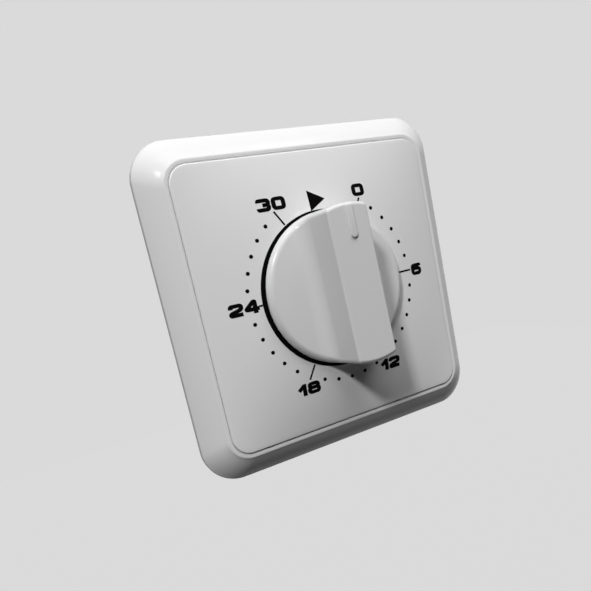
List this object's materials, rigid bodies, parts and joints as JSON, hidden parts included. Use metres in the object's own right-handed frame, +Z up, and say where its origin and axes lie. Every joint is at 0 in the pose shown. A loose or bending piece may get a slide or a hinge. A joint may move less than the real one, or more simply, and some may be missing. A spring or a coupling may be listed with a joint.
{
  "type": "timer light switch",
  "caption": "Square flush-mounted wall timer switch with a domed minute-scale plate, a bar-grip rotary knob and a spring-wound clockwork insert behind a sloping cover frame.",
  "frame": {"origin": "centre of the wall screw pattern, on the wall plane behind the cover frame", "axes": "+Z up, +X to the right seen from the front, the front faces -Y and the insert goes into the wall along +Y"},
  "size_m": [0.08, 0.0538, 0.08],
  "materials": {
    "white_plastic": "smooth moulded",
    "dark_moulding": "matt moulded",
    "cam_plastic": "natural moulded",
    "zinc_steel": "zinc plated",
    "bright_steel": "turned",
    "spring_steel": "blued",
    "brass": "stamped",
    "contact_bronze": "rolled strip",
    "contact_silver": "polished"
  },
  "bodies": {
    "root": {"cover_frame": "white_plastic", "centre_plate": "white_plastic", "plate_nut": "brass", "support_ring": "zinc_steel", "ring_screws": "zinc_steel", "housing": "dark_moulding", "front_plate": "brass", "bush": "brass", "back_plate": "brass", "pillars": "zinc_steel", "plate_screws": "zinc_steel", "mainspring": "spring_steel", "spring_post": "bright_steel", "stop_pin": "zinc_steel", "fixed_blade": "contact_bronze", "fixed_rivet": "contact_silver", "line_terminal": "brass", "load_terminal": "brass", "terminal_screws": "zinc_steel"},
    "dial_shaft": {"rotary_knob": "white_plastic", "knob_clip": "spring_steel", "winding_arbor": "bright_steel", "ratchet_wheel": "bright_steel", "click": "bright_steel", "click_spring": "spring_steel", "great_wheel": "brass", "switch_cam": "cam_plastic", "cam_circlip": "bright_steel"},
    "second_arbor": {"second_pinion": "bright_steel", "second_wheel": "brass"},
    "third_arbor": {"third_pinion": "bright_steel", "third_wheel": "brass"},
    "escape_arbor": {"escape_pinion": "bright_steel", "escape_wheel": "brass"},
    "pallet": {"pallet_arbor": "bright_steel", "pallet_lever": "bright_steel", "balance_ring": "brass"},
    "contact_blade": {"moving_blade": "contact_bronze", "moving_rivet": "contact_silver"}
  },
  "joints": [
    {"name": "knob_turn", "type": "hinge", "parent": "root", "child": "dial_shaft", "pos_m": [0, 0, 0], "axis": [0, 1, 0], "range_deg": [0, 330], "stiffness_Nm_per_rad": 0.004, "springref_deg": -17.19},
    {"name": "second_spin", "type": "hinge", "parent": "root", "child": "second_arbor", "pos_m": [-0.01169, 0, 0.00675], "axis": [0, 1, 0], "range_deg": [-2640, 0]},
    {"name": "third_spin", "type": "hinge", "parent": "root", "child": "third_arbor", "pos_m": [-0.00365, 0, 0.0135], "axis": [0, 1, 0], "range_deg": [0, 15840]},
    {"name": "escape_spin", "type": "hinge", "parent": "root", "child": "escape_arbor", "pos_m": [0.00534, 0, 0.01397], "axis": [0, 1, 0], "range_deg": [-79200, 0]},
    {"name": "pallet_rock", "type": "hinge", "parent": "root", "child": "pallet", "pos_m": [0.01148, 0, 0.00983], "axis": [0, 1, 0], "range_deg": [-6, 6]},
    {"name": "contact_press", "type": "hinge", "parent": "root", "child": "contact_blade", "pos_m": [-0.0085, 0, -0.00855], "axis": [0, 1, 0], "range_deg": [0, 2.2], "stiffness_Nm_per_rad": 0.02, "springref_deg": -1.15}
  ],
  "couplings": [
    {"joint": "second_spin", "follows": "knob_turn", "ratio": -8},
    {"joint": "third_spin", "follows": "knob_turn", "ratio": 48},
    {"joint": "escape_spin", "follows": "knob_turn", "ratio": -240}
  ]
}
